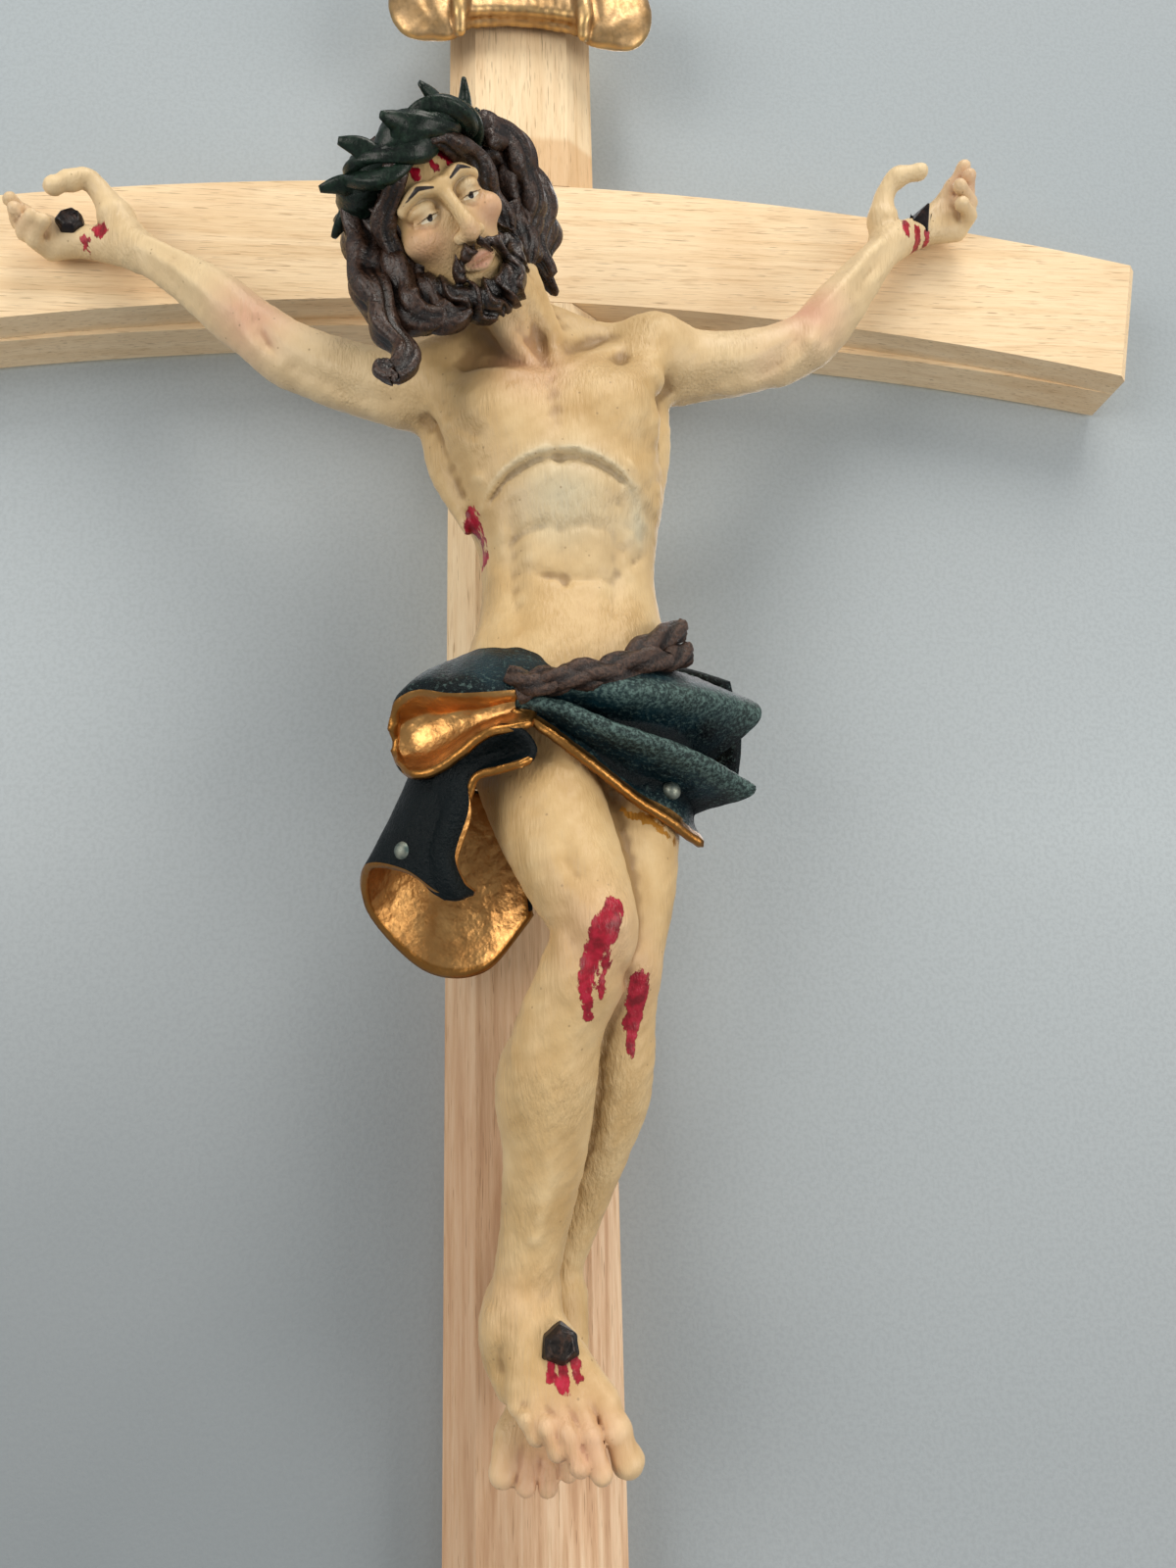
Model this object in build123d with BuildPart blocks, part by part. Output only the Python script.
"""Wall crucifix: a limewood cross with a bowed crossbeam and a carved, painted figure, in millimetres.

The origin is at the mouth of the hanging hole in the back of the upright. +X is to the viewer's right,
+Z is up and +Y points into the wall, so the back of the timber lies on Y = 0.
"""

import os
from math import cos, pi, radians, sin, sqrt

from build123d import *

os.makedirs("parts", exist_ok=True)

# Timber of the cross
TIMBER_THICKNESS = 10.0
UPRIGHT_LENGTH = 345.0
UPRIGHT_WIDTH = 20.0
UPRIGHT_CHAMFER_ON_FACE = 3.6
UPRIGHT_CHAMFER_ON_SIDE = 3.2
CROSSBEAM_FROM_TOP = 55.5
CROSSBEAM_LENGTH = 172.0
CROSSBEAM_HEIGHT = 18.0
CROSSBEAM_BOW_RADIUS = 427.0
CROSSBEAM_FRONT_BAND = 4.3
CROSSBEAM_REAR_SAG = 1.2
CROSSBEAM_END_CHAMFER = 1.0
LAP_CLEARANCE = 0.1

# Hanging hole in the back of the upright
HANGING_HOLE_FROM_TOP = 15.0
HANGING_HOLE_RADIUS = 3.0
HANGING_HOLE_DEPTH = 6.0

# Title scroll
SCROLL_PANEL_WIDTH = 17.0
SCROLL_SPAN = 37.0
SCROLL_PANEL_HEIGHT = 15.0
SCROLL_SHEET = 1.5
SCROLL_FOLD_RADIUS = 1.5
SCROLL_TAIL_HEIGHT = 14.0
SCROLL_TAIL_DROP = 3.2
SCROLL_TAIL_CORNER = 4.0
SCROLL_TAIL_TUCK = 5.0
SCROLL_EDGE_SWEEP = 2.2
SCROLL_BOTTOM_ABOVE_BEAM = 32.3
SCROLL_BRAD_RADIUS = 0.5
SCROLL_BRAD_HEAD_RADIUS = 1.0
SCROLL_BRAD_HEAD_HEIGHT = 0.6
SCROLL_BRAD_HEAD_TAPER = 30.0
SCROLL_BRAD_IN_TIMBER = 4.0
SCROLL_BRAD_APART = 8.0

# Figure: girths are full widths across the limb, seen from the front
SHOULDER_GIRTH = 11.0
UPPER_ARM_GIRTH = 8.2
ELBOW_GIRTH = 7.4
FOREARM_GIRTH = 7.0
WRIST_GIRTH = 4.7
PALM_WIDTH = 7.4
PALM_THICKNESS = 4.4
FINGER_GIRTH = 2.3
FINGER_SPACING = 1.75
FINGER_LENGTH = 6.4
PALM_LENGTH = 8.0
HIP_GIRTH = 14.0
MID_THIGH_GIRTH = 12.0
KNEE_GIRTH = 8.6
CALF_GIRTH = 9.2
ANKLE_GIRTH = 6.6
FOOT_WIDTH = 9.6
FOOT_THICKNESS = 5.6
TOE_GIRTH = 2.3
TOE_LENGTH = 4.6
NECK_GIRTH = 8.6
CHEST_WIDTH = 25.6
CHEST_DEPTH = 19.5
WAIST_WIDTH = 19.8
WAIST_DEPTH = 17.0
PELVIS_WIDTH = 25.0
PELVIS_DEPTH = 23.4
HEAD_LENGTH = 23.0
HEAD_WIDTH = 15.4
HEAD_DEPTH = 18.0
NOSE_WIDTH = 2.8
HAIR_THICKNESS = 2.4
HAIRLINE_OUT = 2.0
HAIRLINE_SLOPE = -0.35
LOCK_GIRTH = 4.6
BEARD_DEPTH = 7.0
BEARD_REACH = 14.5
CROWN_CANE = 3.0
CROWN_WEAVE_TILT = 9.0
CROWN_CANES = 3
CROWN_UP = 6.4
THORN_LENGTH = 3.2
THORN_RADIUS = 0.8
THORNS = 11

# Carved loincloth and rope
CLOTH_THICKNESS = 1.3
CLOTH_STANDOFF = 1.7
WRAP_ABOVE_PELVIS = 3.0
WRAP_BELOW_PELVIS = 10.5
WRAP_TOP_SLOPE = 0.18
WRAP_HEM_SLOPE = 0.55
SWAG_WIDTH = 17.0
SWAG_DEPTH = 13.0
SWAG_HEM_SLOPE = 0.6
ROLL_MOUTH = 9.6
PLEATS = 3
PLEAT_DEPTH = 2.4
ROPE_GIRTH = 3.4
CLOTH_PIN_RADIUS = 1.0
CLOTH_PIN_LENGTH = 3.2
PLEAT_PIN_BEARING = 45.0
PLEAT_PIN_RADIUS = 18.2

# Nails, dowels and the screw from behind
NAIL_HEAD_WIDTH = 3.4
NAIL_HEAD_HEIGHT = 1.5
NAIL_HEAD_TAPER = 30.0
HAND_NAIL_OUT = 4.0
FOOT_NAIL_OUT = 14.6
NAIL_SHANK_RADIUS = 0.7
NAIL_IN_TIMBER = 5.0
DOWEL_RADIUS = 1.2
DOWEL_LENGTH = 8.0
ARM_JOINT_SHARE = 0.2
SCREW_HEAD_RADIUS = 3.2
SCREW_HEAD_HEIGHT = 2.2
SCREW_SHANK_RADIUS = 1.6
SCREW_IN_FIGURE = 9.0
SCREW_TIP = 3.0
SCREW_SLOT_WIDTH = 0.8
SCREW_SLOT_DEPTH = 0.9

TOP_Z = HANGING_HOLE_FROM_TOP
BEAM_Z = TOP_Z - CROSSBEAM_FROM_TOP
FRONT_Y = -TIMBER_THICKNESS
LAP_Y = FRONT_Y + CROSSBEAM_FRONT_BAND
OUTWARD = Vector(0, -1, 0)
TIMBER_FRONT = Plane.XZ.offset(TIMBER_THICKNESS)
SCROLL_LOW = BEAM_Z + SCROLL_BOTTOM_ABOVE_BEAM
SCROLL_HIGH = SCROLL_LOW + SCROLL_PANEL_HEIGHT
SCROLL_FRONT = 2 * SCROLL_FOLD_RADIUS + SCROLL_SHEET / 2
PANEL_HALF = SCROLL_PANEL_WIDTH / 2
TAIL_RUN = SCROLL_SPAN / 2 - PANEL_HALF + SCROLL_TAIL_TUCK
BRAD_HEIGHT = (SCROLL_LOW + SCROLL_HIGH) / 2 + SCROLL_EDGE_SWEEP


def on_cross(across, out, down):
    """A point by its distance across, out from the timber's face and down from the crossbeam's centre."""
    return Vector(across, FRONT_Y - out, BEAM_Z - down)


def beam_drop(across):
    """How far the bowed centreline has dropped at this distance from the upright."""
    return CROSSBEAM_BOW_RADIUS - sqrt(CROSSBEAM_BOW_RADIUS**2 - across**2)


def on_beam(across, out, down):
    """A point as above, but down from the bowed centreline below or above it."""
    return on_cross(across, out, down + beam_drop(across))


def between(start, end, share):
    """The point this share of the way from start to end."""
    return start + (end - start) * share


# Joints of the figure. Left and right are the figure's own, so its right side is on the viewer's left.
NECK_BASE = on_cross(2.2, 9.8, 28.0)
SHOULDER_LINE = on_cross(1.9, 9.8, 31.5)
CHEST = on_cross(2.4, 11.0, 38.0)
LOWER_RIBS = on_cross(3.2, 11.8, 45.0)
WAIST = on_cross(4.2, 11.0, 55.5)
PELVIS = on_cross(3.7, 11.2, 68.0)
CROTCH = on_cross(4.0, 11.6, 77.5)
HEAD_CENTRE = on_cross(-8.9, 24.2, 17.4)
HEAD_UP = Vector(-0.38, -0.52, 0.765).normalized()
FACE_OUT = (OUTWARD - HEAD_UP * OUTWARD.dot(HEAD_UP)).normalized()
HEAD_SIDE = HEAD_UP.cross(FACE_OUT)
LEFT_SHOULDER = on_cross(14.2, 9.6, 25.0)
LEFT_ELBOW = on_cross(35.4, 9.4, 20.4)
LEFT_WRIST = on_beam(48.2, 5.4, 0.6)
LEFT_PALM = on_beam(54.2, 2.1, -5.4)
RIGHT_SHOULDER = on_cross(-10.6, 10.4, 29.2)
RIGHT_ELBOW = on_cross(-32.0, 10.0, 22.2)
RIGHT_WRIST = on_beam(-47.4, 5.4, 6.0)
RIGHT_PALM = on_beam(-55.4, 2.1, 0.8)
RIGHT_HIP = on_cross(-1.0, 12.0, 71.0)
RIGHT_KNEE = on_cross(5.0, 22.3, 94.6)
RIGHT_CALF = on_cross(1.6, 16.2, 108.6)
RIGHT_ANKLE = on_cross(-1.3, 10.8, 130.0)
RIGHT_INSTEP = on_cross(-0.4, 11.6, 136.4)
RIGHT_BALL = on_cross(2.2, 14.4, 141.2)
LEFT_HIP = on_cross(9.8, 9.6, 71.0)
LEFT_KNEE = on_cross(9.0, 17.2, 97.0)
LEFT_CALF = on_cross(8.4, 13.0, 109.0)
LEFT_ANKLE = on_cross(4.2, 5.6, 129.5)
LEFT_INSTEP = on_cross(3.0, 5.4, 136.5)
LEFT_BALL = on_cross(0.2, 7.4, 145.0)
LEFT_ARM_ROOT = on_cross(7.0, 10.6, 29.5)
RIGHT_ARM_ROOT = on_cross(-4.0, 10.8, 31.5)
LEFT_NAIL_AT = on_beam(54.2, 0.0, -6.6)
RIGHT_NAIL_AT = on_beam(-57.0, 0.0, 0.2)
FOOT_NAIL_AT = on_cross(1.6, 0.0, 135.2)
SCREW_AT = on_cross(2.4, 0.0, 67.0)

# Paths of the hair's hanging locks, from the ear to the tip
NEAR_LOCK_EAR = on_cross(-18.0, 22.0, 16.0)
NEAR_LOCK_JAW = on_cross(-18.2, 24.0, 24.2)
NEAR_LOCK_NECK = on_cross(-16.8, 25.5, 30.6)
NEAR_LOCK_CURL = on_cross(-14.6, 26.5, 34.9)
NEAR_LOCK_TIP = on_cross(-14.9, 27.0, 38.6)
FAR_LOCK_EAR = on_cross(0.9, 18.0, 6.2)
FAR_LOCK_JAW = on_cross(1.9, 16.6, 11.0)
FAR_LOCK_NECK = on_cross(2.4, 15.2, 15.0)
FAR_LOCK_TIP = on_cross(3.0, 14.2, 18.4)

# Paths of the cloth and the rope
WRAP_WAIST = on_cross(4.0, 11.0, 58.0)
WRAP_SEAT = on_cross(4.4, 12.4, 78.0)
WRAP_THIGHS = on_cross(5.4, 14.0, 90.0)
SWAG_TOP = on_cross(-6.6, 17.0, 73.5)
SWAG_NECK = on_cross(-8.0, 16.0, 79.0)
SWAG_BELLY = on_cross(-9.4, 14.0, 87.0)
SWAG_MOUTH = on_cross(-9.8, 12.4, 97.5)
SWAG_HEM_AT = on_cross(-11.0, 15.5, 91.0)
SWAG_PIN_AT = on_cross(-13.6, 19.6, 88.0)
ROLL_KNOT = on_cross(1.0, 22.0, 68.6)
ROLL_THROAT = on_cross(-3.0, 22.4, 70.2)
ROLL_BELL = on_cross(-7.4, 21.8, 71.8)
ROLL_LIP = on_cross(-12.4, 20.6, 73.4)
ROPE_TUCK = on_cross(-3.0, 24.4, 70.6)
ROPE_FRONT = on_cross(2.0, 25.4, 70.0)
ROPE_HIP = on_cross(8.0, 24.2, 68.0)
ROPE_SIDE = on_cross(13.0, 21.0, 65.4)
ROPE_END = on_cross(16.8, 16.8, 63.0)
PLEAT_PIN_LEVEL = on_cross(3.7, 11.2, 80.6)


def in_head(side, up, out):
    """A point by its distances in the tilted head's own directions."""
    return HEAD_CENTRE + HEAD_SIDE * side + HEAD_UP * up + FACE_OUT * out


def limb(*stations):
    """A swelling, tapering form lofted through (centre, width, depth) ellipses along a carved limb."""
    centres = [station[0] for station in stations]
    with BuildPart() as form:
        for place, (centre, width, depth) in enumerate(stations):
            before = centres[max(place - 1, 0)]
            after = centres[min(place + 1, len(centres) - 1)]
            along = (after - before).normalized()
            side = along.cross(OUTWARD).normalized()
            with BuildSketch(Plane(origin=centre, x_dir=side, z_dir=along)):
                Ellipse(width / 2, depth / 2)
        loft()
    return form.part


def egg(centre, axis, length, width, depth, stations=9):
    """An egg-shaped form about an axis, as a head or a cap of hair is."""
    slices = []
    for place in range(stations):
        angle = pi * (place + 0.6) / (stations + 0.2)
        spread = sin(angle)
        slices.append((centre + axis * (length / 2 * cos(angle)), width * spread, depth * spread))
    return limb(*slices)


def straight_pin(base, direction, radius, length):
    """A plain round pin from base along direction."""
    with BuildPart() as pin:
        with BuildSketch(Plane(origin=base, z_dir=direction)):
            Circle(radius)
        extrude(amount=length)
    return pin.part


def joined(*forms):
    """Forms carved from one block, joined one after another."""
    with BuildPart() as block:
        for form in forms:
            add(form)
    return block.part


def sawn(form, joint, keep):
    """One side of a form sawn through at a glue joint."""
    with BuildPart() as side:
        add(form)
        split(bisect_by=joint, keep=keep)
    return side.part


# Both timbers and their lap joint
def bow_point(radius, run):
    """A point of the front view on a bow of this radius, at a run along the centreline from the middle."""
    angle = run / CROSSBEAM_BOW_RADIUS
    return (radius * sin(angle), BEAM_Z - CROSSBEAM_BOW_RADIUS + radius * cos(angle))


def bow_outline(sag=0.0, grow=0.0):
    """Front view of the crossbeam: two bows with ends square to them, the lower one sagging at the middle."""
    run = CROSSBEAM_LENGTH / 2
    upper = CROSSBEAM_BOW_RADIUS + CROSSBEAM_HEIGHT / 2 + grow
    lower = CROSSBEAM_BOW_RADIUS - CROSSBEAM_HEIGHT / 2 - grow
    with BuildLine() as edge:
        ThreePointArc(bow_point(upper, -run), bow_point(upper, 0), bow_point(upper, run))
        Line(bow_point(upper, run), bow_point(lower, run))
        ThreePointArc(bow_point(lower, run), bow_point(lower - sag, 0), bow_point(lower, -run))
        Line(bow_point(lower, -run), bow_point(upper, -run))
    return make_face(edge.line)


def nail(at_timber, head_out):
    """A forged nail with a square, peaked head standing this far out from the timber."""
    with BuildPart() as forged:
        with BuildSketch(Plane(origin=at_timber + OUTWARD * head_out, z_dir=OUTWARD)):
            Rectangle(NAIL_HEAD_WIDTH, NAIL_HEAD_WIDTH)
        extrude(amount=NAIL_HEAD_HEIGHT, taper=NAIL_HEAD_TAPER)
        with BuildSketch(Plane(origin=at_timber - OUTWARD * NAIL_IN_TIMBER, z_dir=OUTWARD)):
            Circle(NAIL_SHANK_RADIUS)
        extrude(amount=NAIL_IN_TIMBER + head_out)
    return forged.part


def screw_form():
    """The countersunk wood screw, driven from the back of the upright into the figure."""
    reach = TIMBER_THICKNESS + SCREW_IN_FIGURE
    with BuildPart() as turned:
        with BuildSketch(Plane(origin=(SCREW_AT.X, 0, SCREW_AT.Z), x_dir=(1, 0, 0), z_dir=(0, 0, 1))):
            with BuildLine():
                Polyline(
                    (0, 0),
                    (SCREW_HEAD_RADIUS, 0),
                    (SCREW_SHANK_RADIUS, -SCREW_HEAD_HEIGHT),
                    (SCREW_SHANK_RADIUS, SCREW_TIP - reach),
                    (0, -reach),
                    close=True,
                )
            make_face()
        revolve(axis=Axis((SCREW_AT.X, 0, SCREW_AT.Z), (0, 1, 0)))
    return turned.part


def brad(across):
    """A small round-headed brad through the panel into the upright."""
    head_base = Vector(across, FRONT_Y - SCROLL_FRONT - SCROLL_SHEET / 2, BRAD_HEIGHT)
    with BuildPart() as pin:
        with BuildSketch(Plane(origin=head_base, z_dir=OUTWARD)):
            Circle(SCROLL_BRAD_HEAD_RADIUS)
        extrude(amount=SCROLL_BRAD_HEAD_HEIGHT, taper=SCROLL_BRAD_HEAD_TAPER)
        with BuildSketch(Plane(origin=head_base, z_dir=-OUTWARD)):
            Circle(SCROLL_BRAD_RADIUS)
        extrude(amount=SCROLL_FRONT + SCROLL_SHEET / 2 + SCROLL_BRAD_IN_TIMBER)
    return pin.part


HAND_NAILS = [nail(LEFT_NAIL_AT, HAND_NAIL_OUT), nail(RIGHT_NAIL_AT, HAND_NAIL_OUT)]
FOOT_NAIL = nail(FOOT_NAIL_AT, FOOT_NAIL_OUT)
SCREW = screw_form()
BRADS = [brad(-SCROLL_BRAD_APART / 2), brad(SCROLL_BRAD_APART / 2)]

with BuildPart() as crossbeam:
    with BuildSketch(TIMBER_FRONT):
        add(bow_outline())
    extrude(amount=-CROSSBEAM_FRONT_BAND)
    end_edges = crossbeam.edges().filter_by_position(Axis.Y, FRONT_Y, FRONT_Y).sort_by(Axis.X)
    chamfer([end_edges[0], end_edges[-1]], CROSSBEAM_END_CHAMFER)
    with BuildSketch(Plane.XZ.offset(-LAP_Y)):
        add(bow_outline(sag=CROSSBEAM_REAR_SAG))
    extrude(amount=LAP_Y)
    with BuildSketch(Plane.XZ):
        with Locations((0, BEAM_Z)):
            Rectangle(UPRIGHT_WIDTH + 2 * LAP_CLEARANCE, 2 * CROSSBEAM_HEIGHT)
    extrude(amount=-LAP_Y, mode=Mode.SUBTRACT)
    add(HAND_NAILS, mode=Mode.SUBTRACT)
crossbeam.part.label = "crossbeam"

with BuildPart() as upright_beam:
    with BuildSketch(Plane.XY.offset(TOP_Z)):
        with BuildLine():
            Polyline(
                (-UPRIGHT_WIDTH / 2, 0),
                (-UPRIGHT_WIDTH / 2, FRONT_Y + UPRIGHT_CHAMFER_ON_SIDE),
                (-UPRIGHT_WIDTH / 2 + UPRIGHT_CHAMFER_ON_FACE, FRONT_Y),
                (UPRIGHT_WIDTH / 2 - UPRIGHT_CHAMFER_ON_FACE, FRONT_Y),
                (UPRIGHT_WIDTH / 2, FRONT_Y + UPRIGHT_CHAMFER_ON_SIDE),
                (UPRIGHT_WIDTH / 2, 0),
                close=True,
            )
        make_face()
    extrude(amount=-UPRIGHT_LENGTH)
    with BuildSketch(TIMBER_FRONT):
        add(bow_outline(grow=LAP_CLEARANCE))
    extrude(amount=-CROSSBEAM_FRONT_BAND, mode=Mode.SUBTRACT)
    with BuildSketch(Plane.XZ):
        Circle(HANGING_HOLE_RADIUS)
    extrude(amount=HANGING_HOLE_DEPTH, mode=Mode.SUBTRACT)
    add([SCREW, FOOT_NAIL, *BRADS], mode=Mode.SUBTRACT)
upright_beam.part.label = "upright_beam"

with BuildPart() as figure_screw:
    add(SCREW)
    with BuildSketch(Plane.XZ):
        with Locations((SCREW_AT.X, SCREW_AT.Z)):
            Rectangle(2 * SCREW_HEAD_RADIUS, SCREW_SLOT_WIDTH)
    extrude(amount=SCREW_SLOT_DEPTH, mode=Mode.SUBTRACT)
figure_screw.part.label = "figure_screw"


# The carved figure
def arm_form(chest_point, shoulder, elbow, wrist):
    """One arm from inside the chest to the wrist, before it is sawn at the glue joint."""
    return limb(
        (chest_point, SHOULDER_GIRTH * 0.9, SHOULDER_GIRTH),
        (shoulder, SHOULDER_GIRTH, SHOULDER_GIRTH),
        (between(shoulder, elbow, 0.5), UPPER_ARM_GIRTH, UPPER_ARM_GIRTH),
        (between(shoulder, elbow, 0.85), ELBOW_GIRTH, ELBOW_GIRTH),
        (between(elbow, wrist, 0.2), FOREARM_GIRTH, FOREARM_GIRTH),
        (between(elbow, wrist, 0.65), (FOREARM_GIRTH + WRIST_GIRTH) / 2, WRIST_GIRTH),
        (wrist, WRIST_GIRTH, WRIST_GIRTH * 0.9),
    )


def hand(wrist, palm, thumb_side):
    """An open hand with its back on the beam and its fingers curling out, thumb on the given side."""
    along = Vector(palm.X - wrist.X, 0, palm.Z - wrist.Z).normalized()
    side = along.cross(OUTWARD)
    knuckles = palm + along * (PALM_LENGTH * 0.5)
    pieces = [
        limb(
            (wrist, WRIST_GIRTH, WRIST_GIRTH * 0.9),
            (palm - along * (PALM_LENGTH * 0.25), PALM_WIDTH * 0.9, PALM_THICKNESS),
            (palm + along * (PALM_LENGTH * 0.2), PALM_WIDTH, PALM_THICKNESS),
            (knuckles, PALM_WIDTH * 0.95, PALM_THICKNESS * 0.7),
        )
    ]
    for place in range(4):
        root = knuckles - along * (FINGER_GIRTH / 2) + side * ((place - 1.5) * FINGER_SPACING)
        bend = root + along * (FINGER_LENGTH * 0.45) + OUTWARD * (FINGER_LENGTH * 0.2)
        tip = bend + along * (FINGER_LENGTH * 0.3) + OUTWARD * (FINGER_LENGTH * 0.5)
        pieces.append(limb((root, FINGER_GIRTH, FINGER_GIRTH), (bend, FINGER_GIRTH, FINGER_GIRTH),
                           (tip, FINGER_GIRTH * 0.7, FINGER_GIRTH * 0.7)))
    thumb_root = palm + side * (thumb_side * PALM_WIDTH * 0.36) - along * (PALM_LENGTH * 0.3)
    thumb_bend = thumb_root + side * (thumb_side * FINGER_LENGTH * 0.5) + OUTWARD * (FINGER_LENGTH * 0.45)
    thumb_tip = thumb_bend + side * (thumb_side * FINGER_LENGTH * 0.3) + along * (FINGER_LENGTH * 0.4)
    pieces.append(limb((thumb_root, FINGER_GIRTH * 1.4, FINGER_GIRTH * 1.4),
                       (thumb_bend, FINGER_GIRTH, FINGER_GIRTH),
                       (thumb_tip, FINGER_GIRTH * 0.8, FINGER_GIRTH * 0.8)))
    return pieces


def leg_form(hip, knee, calf, ankle, instep):
    """One leg from the hip to the instep."""
    return limb(
        (hip, HIP_GIRTH, HIP_GIRTH),
        (between(hip, knee, 0.45), MID_THIGH_GIRTH, MID_THIGH_GIRTH),
        (between(hip, knee, 0.85), KNEE_GIRTH * 1.08, KNEE_GIRTH * 1.1),
        (knee + (calf - hip).normalized() * (KNEE_GIRTH * 0.3), KNEE_GIRTH, KNEE_GIRTH),
        (calf, CALF_GIRTH, CALF_GIRTH),
        (between(calf, ankle, 0.6), (CALF_GIRTH + ANKLE_GIRTH) / 2, ANKLE_GIRTH * 1.1),
        (ankle, ANKLE_GIRTH, ANKLE_GIRTH),
        (instep, ANKLE_GIRTH * 0.9, ANKLE_GIRTH * 0.8),
    )


def foot_form(ankle, instep, ball):
    """A foot from inside the ankle to its ball, with five toes beyond."""
    along = (ball - instep).normalized()
    side = along.cross(OUTWARD).normalized()
    pieces = [
        limb(
            (between(ankle, instep, 0.4), ANKLE_GIRTH * 0.9, ANKLE_GIRTH * 0.9),
            (instep, (ANKLE_GIRTH + FOOT_WIDTH) / 2, ANKLE_GIRTH),
            (ball, FOOT_WIDTH, FOOT_THICKNESS),
        )
    ]
    for place in range(5):
        root = ball - along * (TOE_GIRTH / 2) + side * ((place - 2) * FOOT_WIDTH / 5)
        pieces.append(limb(
            (root, TOE_GIRTH, TOE_GIRTH * 1.3),
            (root + along * (TOE_LENGTH * 0.6), TOE_GIRTH, TOE_GIRTH),
            (root + along * TOE_LENGTH, TOE_GIRTH * 0.8, TOE_GIRTH * 0.7),
        ))
    return joined(*pieces)


ARM_ROOTS = {
    "left_arm": (LEFT_ARM_ROOT, LEFT_SHOULDER, LEFT_ELBOW, LEFT_WRIST, LEFT_PALM, -1),
    "right_arm": (RIGHT_ARM_ROOT, RIGHT_SHOULDER, RIGHT_ELBOW, RIGHT_WRIST, RIGHT_PALM, 1),
}

# Arms are carved apart and glued to the shoulders over a dowel
arms = []
arm_stumps = []
dowel_pins = []
for name, (chest_point, shoulder, elbow, wrist, palm, thumb_side) in ARM_ROOTS.items():
    form = arm_form(chest_point, shoulder, elbow, wrist)
    joint = Plane(origin=between(shoulder, elbow, ARM_JOINT_SHARE), z_dir=elbow - shoulder)
    dowel_start = joint.origin - joint.z_dir * (DOWEL_LENGTH / 2)
    dowel = straight_pin(dowel_start, joint.z_dir, DOWEL_RADIUS, DOWEL_LENGTH)
    with BuildPart() as arm:
        add(sawn(form, joint, Keep.TOP))
        add(hand(wrist, palm, thumb_side))
        split(bisect_by=TIMBER_FRONT, keep=Keep.TOP)
        add([dowel, *HAND_NAILS], mode=Mode.SUBTRACT)
    arm.part.label = name
    arms.append(arm)
    arm_stumps.append(sawn(form, joint, Keep.BOTTOM))
    dowel_pins.append(dowel)

with BuildPart() as shoulder_dowels:
    add(dowel_pins)
shoulder_dowels.part.label = "shoulder_dowels"

# Trunk, head, legs and feet are one carved block
TRUNK = limb(
    (NECK_BASE, NECK_GIRTH * 1.5, NECK_GIRTH * 1.2),
    (SHOULDER_LINE, CHEST_WIDTH * 0.92, CHEST_DEPTH * 0.78),
    (CHEST, CHEST_WIDTH, CHEST_DEPTH * 0.97),
    (LOWER_RIBS, CHEST_WIDTH * 0.92, CHEST_DEPTH),
    (WAIST, WAIST_WIDTH, WAIST_DEPTH),
    (PELVIS, PELVIS_WIDTH, PELVIS_DEPTH),
    (CROTCH, PELVIS_WIDTH * 0.8, PELVIS_DEPTH * 0.7),
)
NECK = limb(
    (between(NECK_BASE, CHEST, 0.3), NECK_GIRTH * 1.1, NECK_GIRTH * 1.1),
    (between(NECK_BASE, HEAD_CENTRE, 0.35), NECK_GIRTH, NECK_GIRTH),
    (between(NECK_BASE, HEAD_CENTRE, 0.75), NECK_GIRTH, NECK_GIRTH),
)
NOSE = limb(
    (in_head(0, 2.0, HEAD_DEPTH * 0.42), NOSE_WIDTH * 0.5, NOSE_WIDTH * 0.6),
    (in_head(0, -0.6, HEAD_DEPTH * 0.48), NOSE_WIDTH * 0.7, NOSE_WIDTH * 0.9),
    (in_head(0, -2.6, HEAD_DEPTH * 0.48), NOSE_WIDTH, NOSE_WIDTH),
)
HEAD = joined(egg(HEAD_CENTRE, HEAD_UP, HEAD_LENGTH, HEAD_WIDTH, HEAD_DEPTH), NOSE)
RIGHT_LEG = leg_form(RIGHT_HIP, RIGHT_KNEE, RIGHT_CALF, RIGHT_ANKLE, RIGHT_INSTEP)
LEFT_LEG = leg_form(LEFT_HIP, LEFT_KNEE, LEFT_CALF, LEFT_ANKLE, LEFT_INSTEP)
HIPS = joined(TRUNK, RIGHT_LEG, LEFT_LEG)

with BuildPart() as figure_body:
    add(HIPS)
    for form in (NECK, HEAD, *arm_stumps):
        add(form)
    add(foot_form(RIGHT_ANKLE, RIGHT_INSTEP, RIGHT_BALL))
    add(foot_form(LEFT_ANKLE, LEFT_INSTEP, LEFT_BALL))
    split(bisect_by=TIMBER_FRONT, keep=Keep.TOP)
    add([SCREW, FOOT_NAIL, *dowel_pins], mode=Mode.SUBTRACT)
figure_body.part.label = "figure_body"


# Hair, beard and the woven crown, carved round the head
HAIR_CAP = egg(
    in_head(0, HAIR_THICKNESS * 0.4, -HAIR_THICKNESS * 0.6),
    HEAD_UP,
    HEAD_LENGTH + HAIR_THICKNESS,
    HEAD_WIDTH + 2 * HAIR_THICKNESS,
    HEAD_DEPTH + HAIR_THICKNESS,
)
HAIRLINE = Plane(origin=in_head(0, 0, HAIRLINE_OUT), z_dir=FACE_OUT + HEAD_UP * HAIRLINE_SLOPE)

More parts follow.
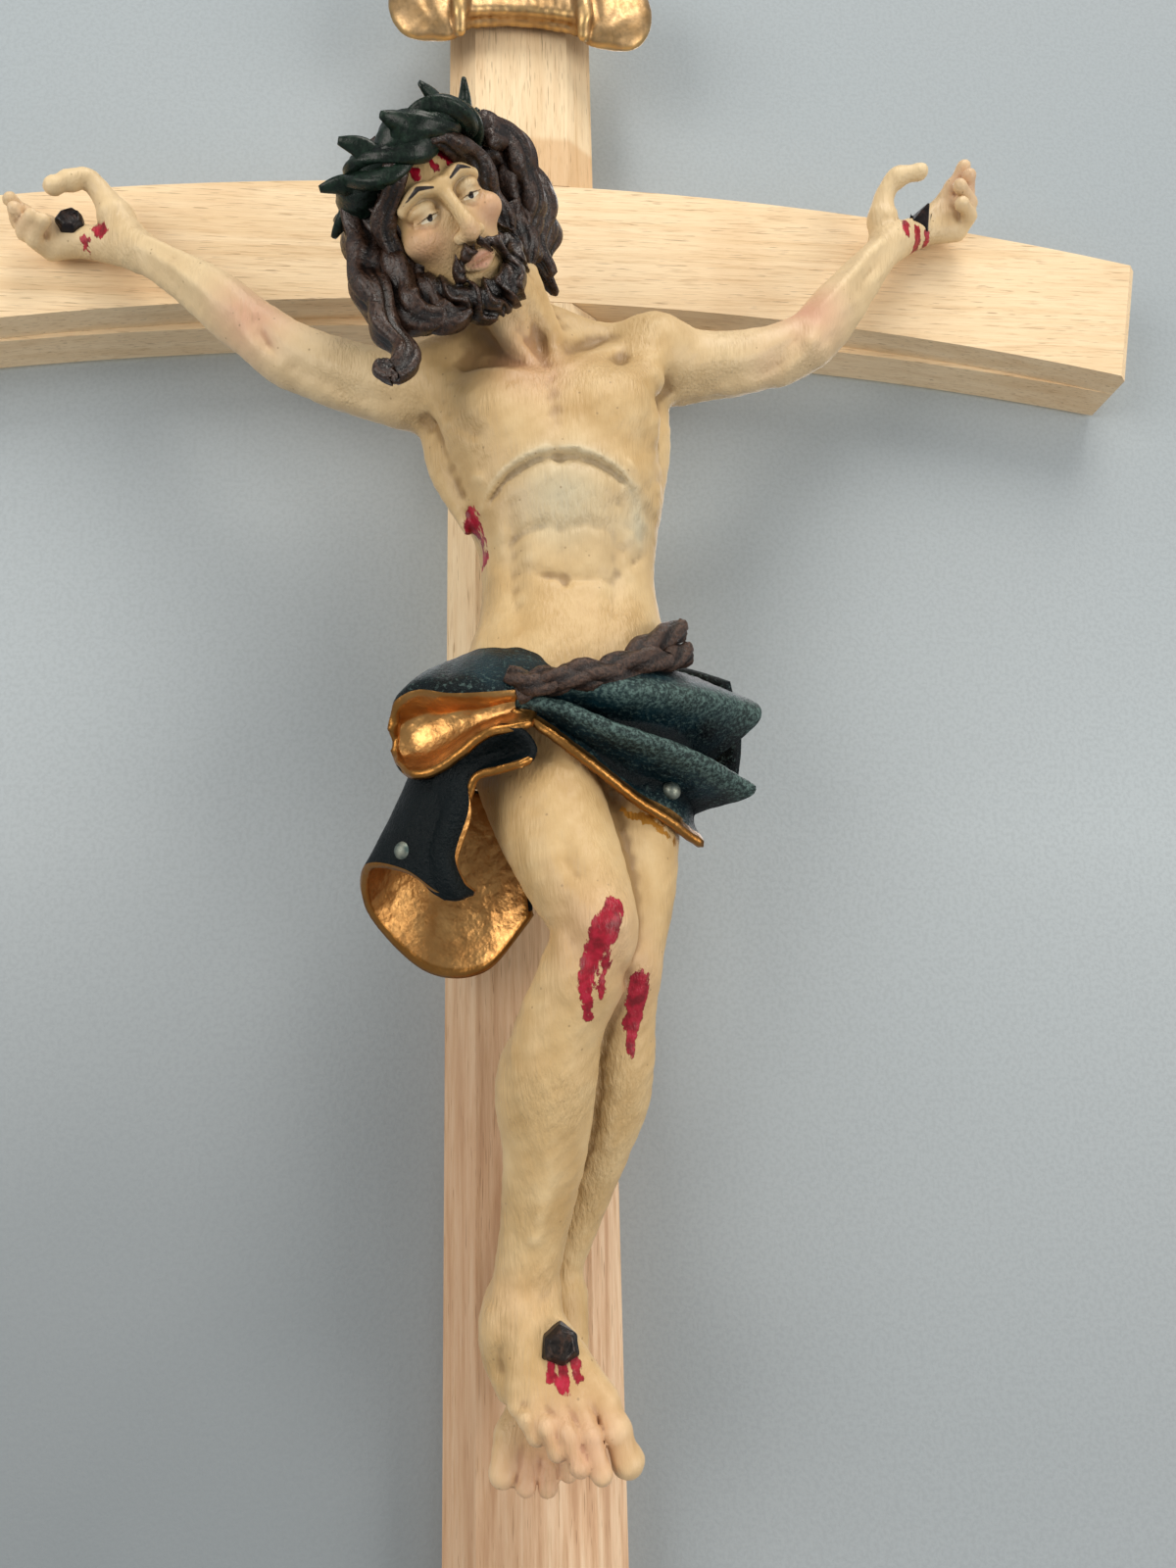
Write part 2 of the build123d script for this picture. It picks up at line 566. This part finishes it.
NEAR_LOCK = limb(
    (in_head(-HEAD_WIDTH * 0.45, 4.0, 0.5), LOCK_GIRTH * 1.2, LOCK_GIRTH * 1.6),
    (NEAR_LOCK_EAR, LOCK_GIRTH, LOCK_GIRTH * 1.6),
    (NEAR_LOCK_JAW, LOCK_GIRTH * 0.9, LOCK_GIRTH * 1.2),
    (NEAR_LOCK_NECK, LOCK_GIRTH * 0.7, LOCK_GIRTH * 0.8),
    (NEAR_LOCK_CURL, LOCK_GIRTH * 0.7, LOCK_GIRTH * 0.7),
    (NEAR_LOCK_TIP, LOCK_GIRTH * 0.55, LOCK_GIRTH * 0.55),
)
FAR_LOCK = limb(
    (in_head(HEAD_WIDTH * 0.4, 6.0, -1.0), LOCK_GIRTH * 1.2, LOCK_GIRTH * 1.8),
    (FAR_LOCK_EAR, LOCK_GIRTH * 1.1, LOCK_GIRTH * 1.8),
    (FAR_LOCK_JAW, LOCK_GIRTH, LOCK_GIRTH * 1.6),
    (FAR_LOCK_NECK, LOCK_GIRTH * 0.8, LOCK_GIRTH),
    (FAR_LOCK_TIP, LOCK_GIRTH * 0.35, LOCK_GIRTH * 0.35),
)

with BuildPart() as hair:
    add(HAIR_CAP)
    split(bisect_by=HAIRLINE, keep=Keep.BOTTOM)
    add(NEAR_LOCK)
    add(FAR_LOCK)
    add([HEAD, NECK], mode=Mode.SUBTRACT)
hair.part.label = "hair"

with BuildPart() as beard:
    add(limb(
        (in_head(0, -4.0, HEAD_DEPTH * 0.3), HEAD_WIDTH * 0.86, BEARD_DEPTH),
        (in_head(0, -8.5, HEAD_DEPTH * 0.32), HEAD_WIDTH * 0.82, BEARD_DEPTH),
        (in_head(0, -12.0, HEAD_DEPTH * 0.34), HEAD_WIDTH * 0.62, BEARD_DEPTH * 0.7),
        (in_head(0, -BEARD_REACH, HEAD_DEPTH * 0.34), HEAD_WIDTH * 0.25, BEARD_DEPTH * 0.3),
    ))
    add([HEAD, NECK, hair.part], mode=Mode.SUBTRACT)
beard.part.label = "beard"

CROWN_CENTRE = in_head(0, CROWN_UP, -1.0)
CROWN_AXIS = Axis(CROWN_CENTRE, HEAD_UP)
CROWN_RADIUS = HEAD_WIDTH / 2 + HAIR_THICKNESS
cane_planes = []
for place in range(CROWN_CANES):
    lean = HEAD_SIDE.rotate(CROWN_AXIS, place * 360 / CROWN_CANES) * sin(radians(CROWN_WEAVE_TILT))
    cane_planes.append(Plane(origin=CROWN_CENTRE, z_dir=HEAD_UP + lean))
thorn_planes = []
for place in range(THORNS):
    spoke = HEAD_SIDE.rotate(CROWN_AXIS, place * 360 / THORNS)
    rise = HEAD_UP * (0.9 if place % 2 else -0.2)
    thorn_planes.append(Plane(origin=CROWN_CENTRE + spoke * CROWN_RADIUS, z_dir=spoke + rise))

with BuildPart(*cane_planes) as canes:
    Torus(CROWN_RADIUS, CROWN_CANE / 2)

with BuildPart(*thorn_planes) as thorns:
    Cone(THORN_RADIUS, THORN_RADIUS * 0.15, CROWN_CANE / 2 + THORN_LENGTH,
         align=(Align.CENTER, Align.CENTER, Align.MIN))

with BuildPart() as woven_crown:
    add(canes.part)
    add(thorns.part)
    for form in (HAIR_CAP, HEAD, NEAR_LOCK, FAR_LOCK):
        add(form, mode=Mode.SUBTRACT)

with BuildPart() as crown_of_thorns:
    add(woven_crown.part.solids().sort_by(SortBy.VOLUME)[-1])
crown_of_thorns.part.label = "crown_of_thorns"


# The loincloth: a wrap round the hips, a roll tucked through the rope, a hanging end and a pleated end
def hollow_fold(*stations):
    """A sheet rolled into a flaring tube through (centre, width, depth) mouths, open at its wide end."""
    lining = []
    for centre, width, depth in stations[1:]:
        lining.append((centre, width - 2 * CLOTH_THICKNESS, depth - 2 * CLOTH_THICKNESS))
    last_centre, last_width, last_depth = lining[-1]
    lining.append((last_centre + (last_centre - lining[-2][0]) * 0.2, last_width, last_depth))
    with BuildPart() as fold:
        add(limb(*stations))
        add(limb(*lining), mode=Mode.SUBTRACT)
    return fold.part


def pleat_section(bearing, radius, top, bottom, depth):
    """A zigzag strip standing on a radius about the hips: one section of the pleated fan."""
    spoke = Vector(sin(radians(bearing)), -cos(radians(bearing)), 0)
    outer = []
    inner = []
    for place in range(2 * PLEATS + 1):
        height = BEAM_Z - top + (top - bottom) * place / (2 * PLEATS)
        reach = radius + (depth if place % 2 else 0)
        outer.append((reach, height))
        inner.append((reach - CLOTH_THICKNESS, height))
    hip_axis = Vector(PELVIS.X, PELVIS.Y, 0)
    with BuildSketch(Plane(origin=hip_axis, x_dir=spoke, z_dir=spoke.cross(Vector(0, 0, 1)))) as strip:
        with BuildLine():
            Polyline(*outer, *reversed(inner), close=True)
        make_face()
    return strip.sketch


WRAP_TOP = Plane(origin=PELVIS + Vector(0, 0, WRAP_ABOVE_PELVIS), z_dir=(-WRAP_TOP_SLOPE, 0, 1))
WRAP_HEM = Plane(origin=PELVIS - Vector(0, 0, WRAP_BELOW_PELVIS), z_dir=(WRAP_HEM_SLOPE, 0, 1))

with BuildPart() as wrap_form:
    add(limb(
        (WRAP_WAIST, WAIST_WIDTH + 2 * CLOTH_STANDOFF, WAIST_DEPTH + 2 * CLOTH_STANDOFF),
        (PELVIS, PELVIS_WIDTH + 2 * CLOTH_STANDOFF, PELVIS_DEPTH + 2 * CLOTH_STANDOFF),
        (WRAP_SEAT, PELVIS_WIDTH + 2 * CLOTH_STANDOFF, PELVIS_DEPTH + CLOTH_STANDOFF),
        (WRAP_THIGHS, PELVIS_WIDTH, PELVIS_DEPTH),
    ))
    split(bisect_by=WRAP_TOP, keep=Keep.BOTTOM)
    split(bisect_by=WRAP_HEM, keep=Keep.TOP)
    split(bisect_by=TIMBER_FRONT, keep=Keep.TOP)

with BuildPart() as loincloth_wrap:
    add(wrap_form.part)
    add(HIPS, mode=Mode.SUBTRACT)
    add(SCREW, mode=Mode.SUBTRACT)
loincloth_wrap.part.label = "loincloth_wrap"


def cloth_pin(tip, direction):
    """A round peg whose outer end is at tip, driven through the cloth against this direction."""
    return straight_pin(tip - direction * CLOTH_PIN_LENGTH, direction, CLOTH_PIN_RADIUS, CLOTH_PIN_LENGTH)


SWAG_PIN = cloth_pin(SWAG_PIN_AT, OUTWARD)
PLEAT_PIN_SPOKE = Vector(sin(radians(PLEAT_PIN_BEARING)), -cos(radians(PLEAT_PIN_BEARING)), 0)
PLEAT_PIN = cloth_pin(PLEAT_PIN_LEVEL + PLEAT_PIN_SPOKE * PLEAT_PIN_RADIUS, PLEAT_PIN_SPOKE)
SWAG_HEM = Plane(origin=SWAG_HEM_AT, z_dir=(0.25, SWAG_HEM_SLOPE, 1))

with BuildPart() as cloth_swag:
    add(hollow_fold(
        (SWAG_TOP, SWAG_WIDTH * 0.45, SWAG_DEPTH * 0.6),
        (SWAG_NECK, SWAG_WIDTH * 0.62, SWAG_DEPTH * 0.85),
        (SWAG_BELLY, SWAG_WIDTH * 0.9, SWAG_DEPTH),
        (SWAG_MOUTH, SWAG_WIDTH, SWAG_DEPTH),
    ))
    split(bisect_by=SWAG_HEM, keep=Keep.TOP)
    for form in (wrap_form.part, TRUNK, RIGHT_LEG, SWAG_PIN):
        add(form, mode=Mode.SUBTRACT)
cloth_swag.part.label = "cloth_swag"

with BuildPart() as cloth_roll:
    add(hollow_fold(
        (ROLL_KNOT, ROLL_MOUTH * 0.35, ROLL_MOUTH * 0.35),
        (ROLL_THROAT, ROLL_MOUTH * 0.62, ROLL_MOUTH * 0.7),
        (ROLL_BELL, ROLL_MOUTH * 0.9, ROLL_MOUTH),
        (ROLL_LIP, ROLL_MOUTH, ROLL_MOUTH),
    ))
    for form in (wrap_form.part, TRUNK, RIGHT_LEG, cloth_swag.part):
        add(form, mode=Mode.SUBTRACT)
cloth_roll.part.label = "cloth_roll"

with BuildPart() as cloth_pleats:
    loft([
        pleat_section(bearing=-22, radius=13.8, top=71.0, bottom=75.0, depth=PLEAT_DEPTH * 0.3),
        pleat_section(bearing=20, radius=14.8, top=68.6, bottom=80.0, depth=PLEAT_DEPTH * 0.6),
        pleat_section(bearing=58, radius=16.4, top=67.4, bottom=84.0, depth=PLEAT_DEPTH * 0.9),
        pleat_section(bearing=80, radius=20.0, top=68.4, bottom=85.0, depth=PLEAT_DEPTH),
    ], ruled=True)
    for form in (wrap_form.part, HIPS, cloth_roll.part, PLEAT_PIN):
        add(form, mode=Mode.SUBTRACT)
cloth_pleats.part.label = "cloth_pleats"

with BuildPart() as rope_form:
    add(limb(
        (ROPE_TUCK, ROPE_GIRTH * 0.8, ROPE_GIRTH * 0.8),
        (ROPE_FRONT, ROPE_GIRTH, ROPE_GIRTH),
        (ROPE_HIP, ROPE_GIRTH, ROPE_GIRTH),
        (ROPE_SIDE, ROPE_GIRTH, ROPE_GIRTH),
        (ROPE_END, ROPE_GIRTH * 1.1, ROPE_GIRTH * 0.9),
    ))
    add(wrap_form.part, mode=Mode.SUBTRACT)
    add(TRUNK, mode=Mode.SUBTRACT)
    for cloth in (cloth_roll, cloth_pleats):
        add(cloth.part, mode=Mode.SUBTRACT)

with BuildPart() as rope_girdle:
    add(rope_form.part.solids().sort_by(SortBy.VOLUME)[-1])
rope_girdle.part.label = "rope_girdle"

with BuildPart() as cloth_pins:
    add([SWAG_PIN, PLEAT_PIN])
cloth_pins.part.label = "cloth_pins"

with BuildPart() as hand_nails:
    add(HAND_NAILS)
hand_nails.part.label = "hand_nails"

with BuildPart() as foot_nail:
    add(FOOT_NAIL)
foot_nail.part.label = "foot_nail"


# The title scroll: a front panel whose ends fold back into two hanging tails on the upright's face
def scroll_panel(low, high, half_width, sweep):
    """Front view of the panel, with its upper and lower edges bowed upward."""
    with BuildLine() as edge:
        ThreePointArc((-half_width, low), (0, low + sweep), (half_width, low))
        Line((half_width, low), (half_width, high))
        ThreePointArc((half_width, high), (0, high + sweep), (-half_width, high))
        Line((-half_width, high), (-half_width, low))
    return make_face(edge.line)


with BuildPart() as title_scroll:
    with BuildSketch(TIMBER_FRONT.offset(SCROLL_FRONT - SCROLL_SHEET / 2)):
        add(scroll_panel(SCROLL_LOW, SCROLL_HIGH, PANEL_HALF, SCROLL_EDGE_SWEEP))
    extrude(amount=SCROLL_SHEET)
    for hand_side in (-1, 1):
        with BuildSketch(TIMBER_FRONT) as tail:
            middle = hand_side * (SCROLL_SPAN / 2 - TAIL_RUN / 2)
            with Locations((middle, SCROLL_LOW - SCROLL_TAIL_DROP + SCROLL_TAIL_HEIGHT / 2)):
                RectangleRounded(TAIL_RUN, SCROLL_TAIL_HEIGHT, SCROLL_TAIL_CORNER)
        extrude(amount=SCROLL_SHEET)
        with BuildSketch(Plane.XY.offset(SCROLL_LOW)) as fold:
            with Locations((hand_side * PANEL_HALF, FRONT_Y - SCROLL_FOLD_RADIUS - SCROLL_SHEET / 2)):
                Circle(SCROLL_FOLD_RADIUS + SCROLL_SHEET / 2)
                Circle(SCROLL_FOLD_RADIUS - SCROLL_SHEET / 2, mode=Mode.SUBTRACT)
        extrude(amount=SCROLL_PANEL_HEIGHT)
    add(BRADS, mode=Mode.SUBTRACT)
title_scroll.part.label = "title_scroll"

with BuildPart() as title_brads:
    add(BRADS)
title_brads.part.label = "title_brads"

PIECES = [
    upright_beam, crossbeam, title_scroll, title_brads, figure_body, *arms, shoulder_dowels, figure_screw,
    hair, beard, crown_of_thorns, loincloth_wrap, cloth_roll, cloth_swag, cloth_pleats, cloth_pins,
    rope_girdle, hand_nails, foot_nail,
]
for piece in PIECES:
    export_step(piece.part, f"parts/{piece.part.label}.step")
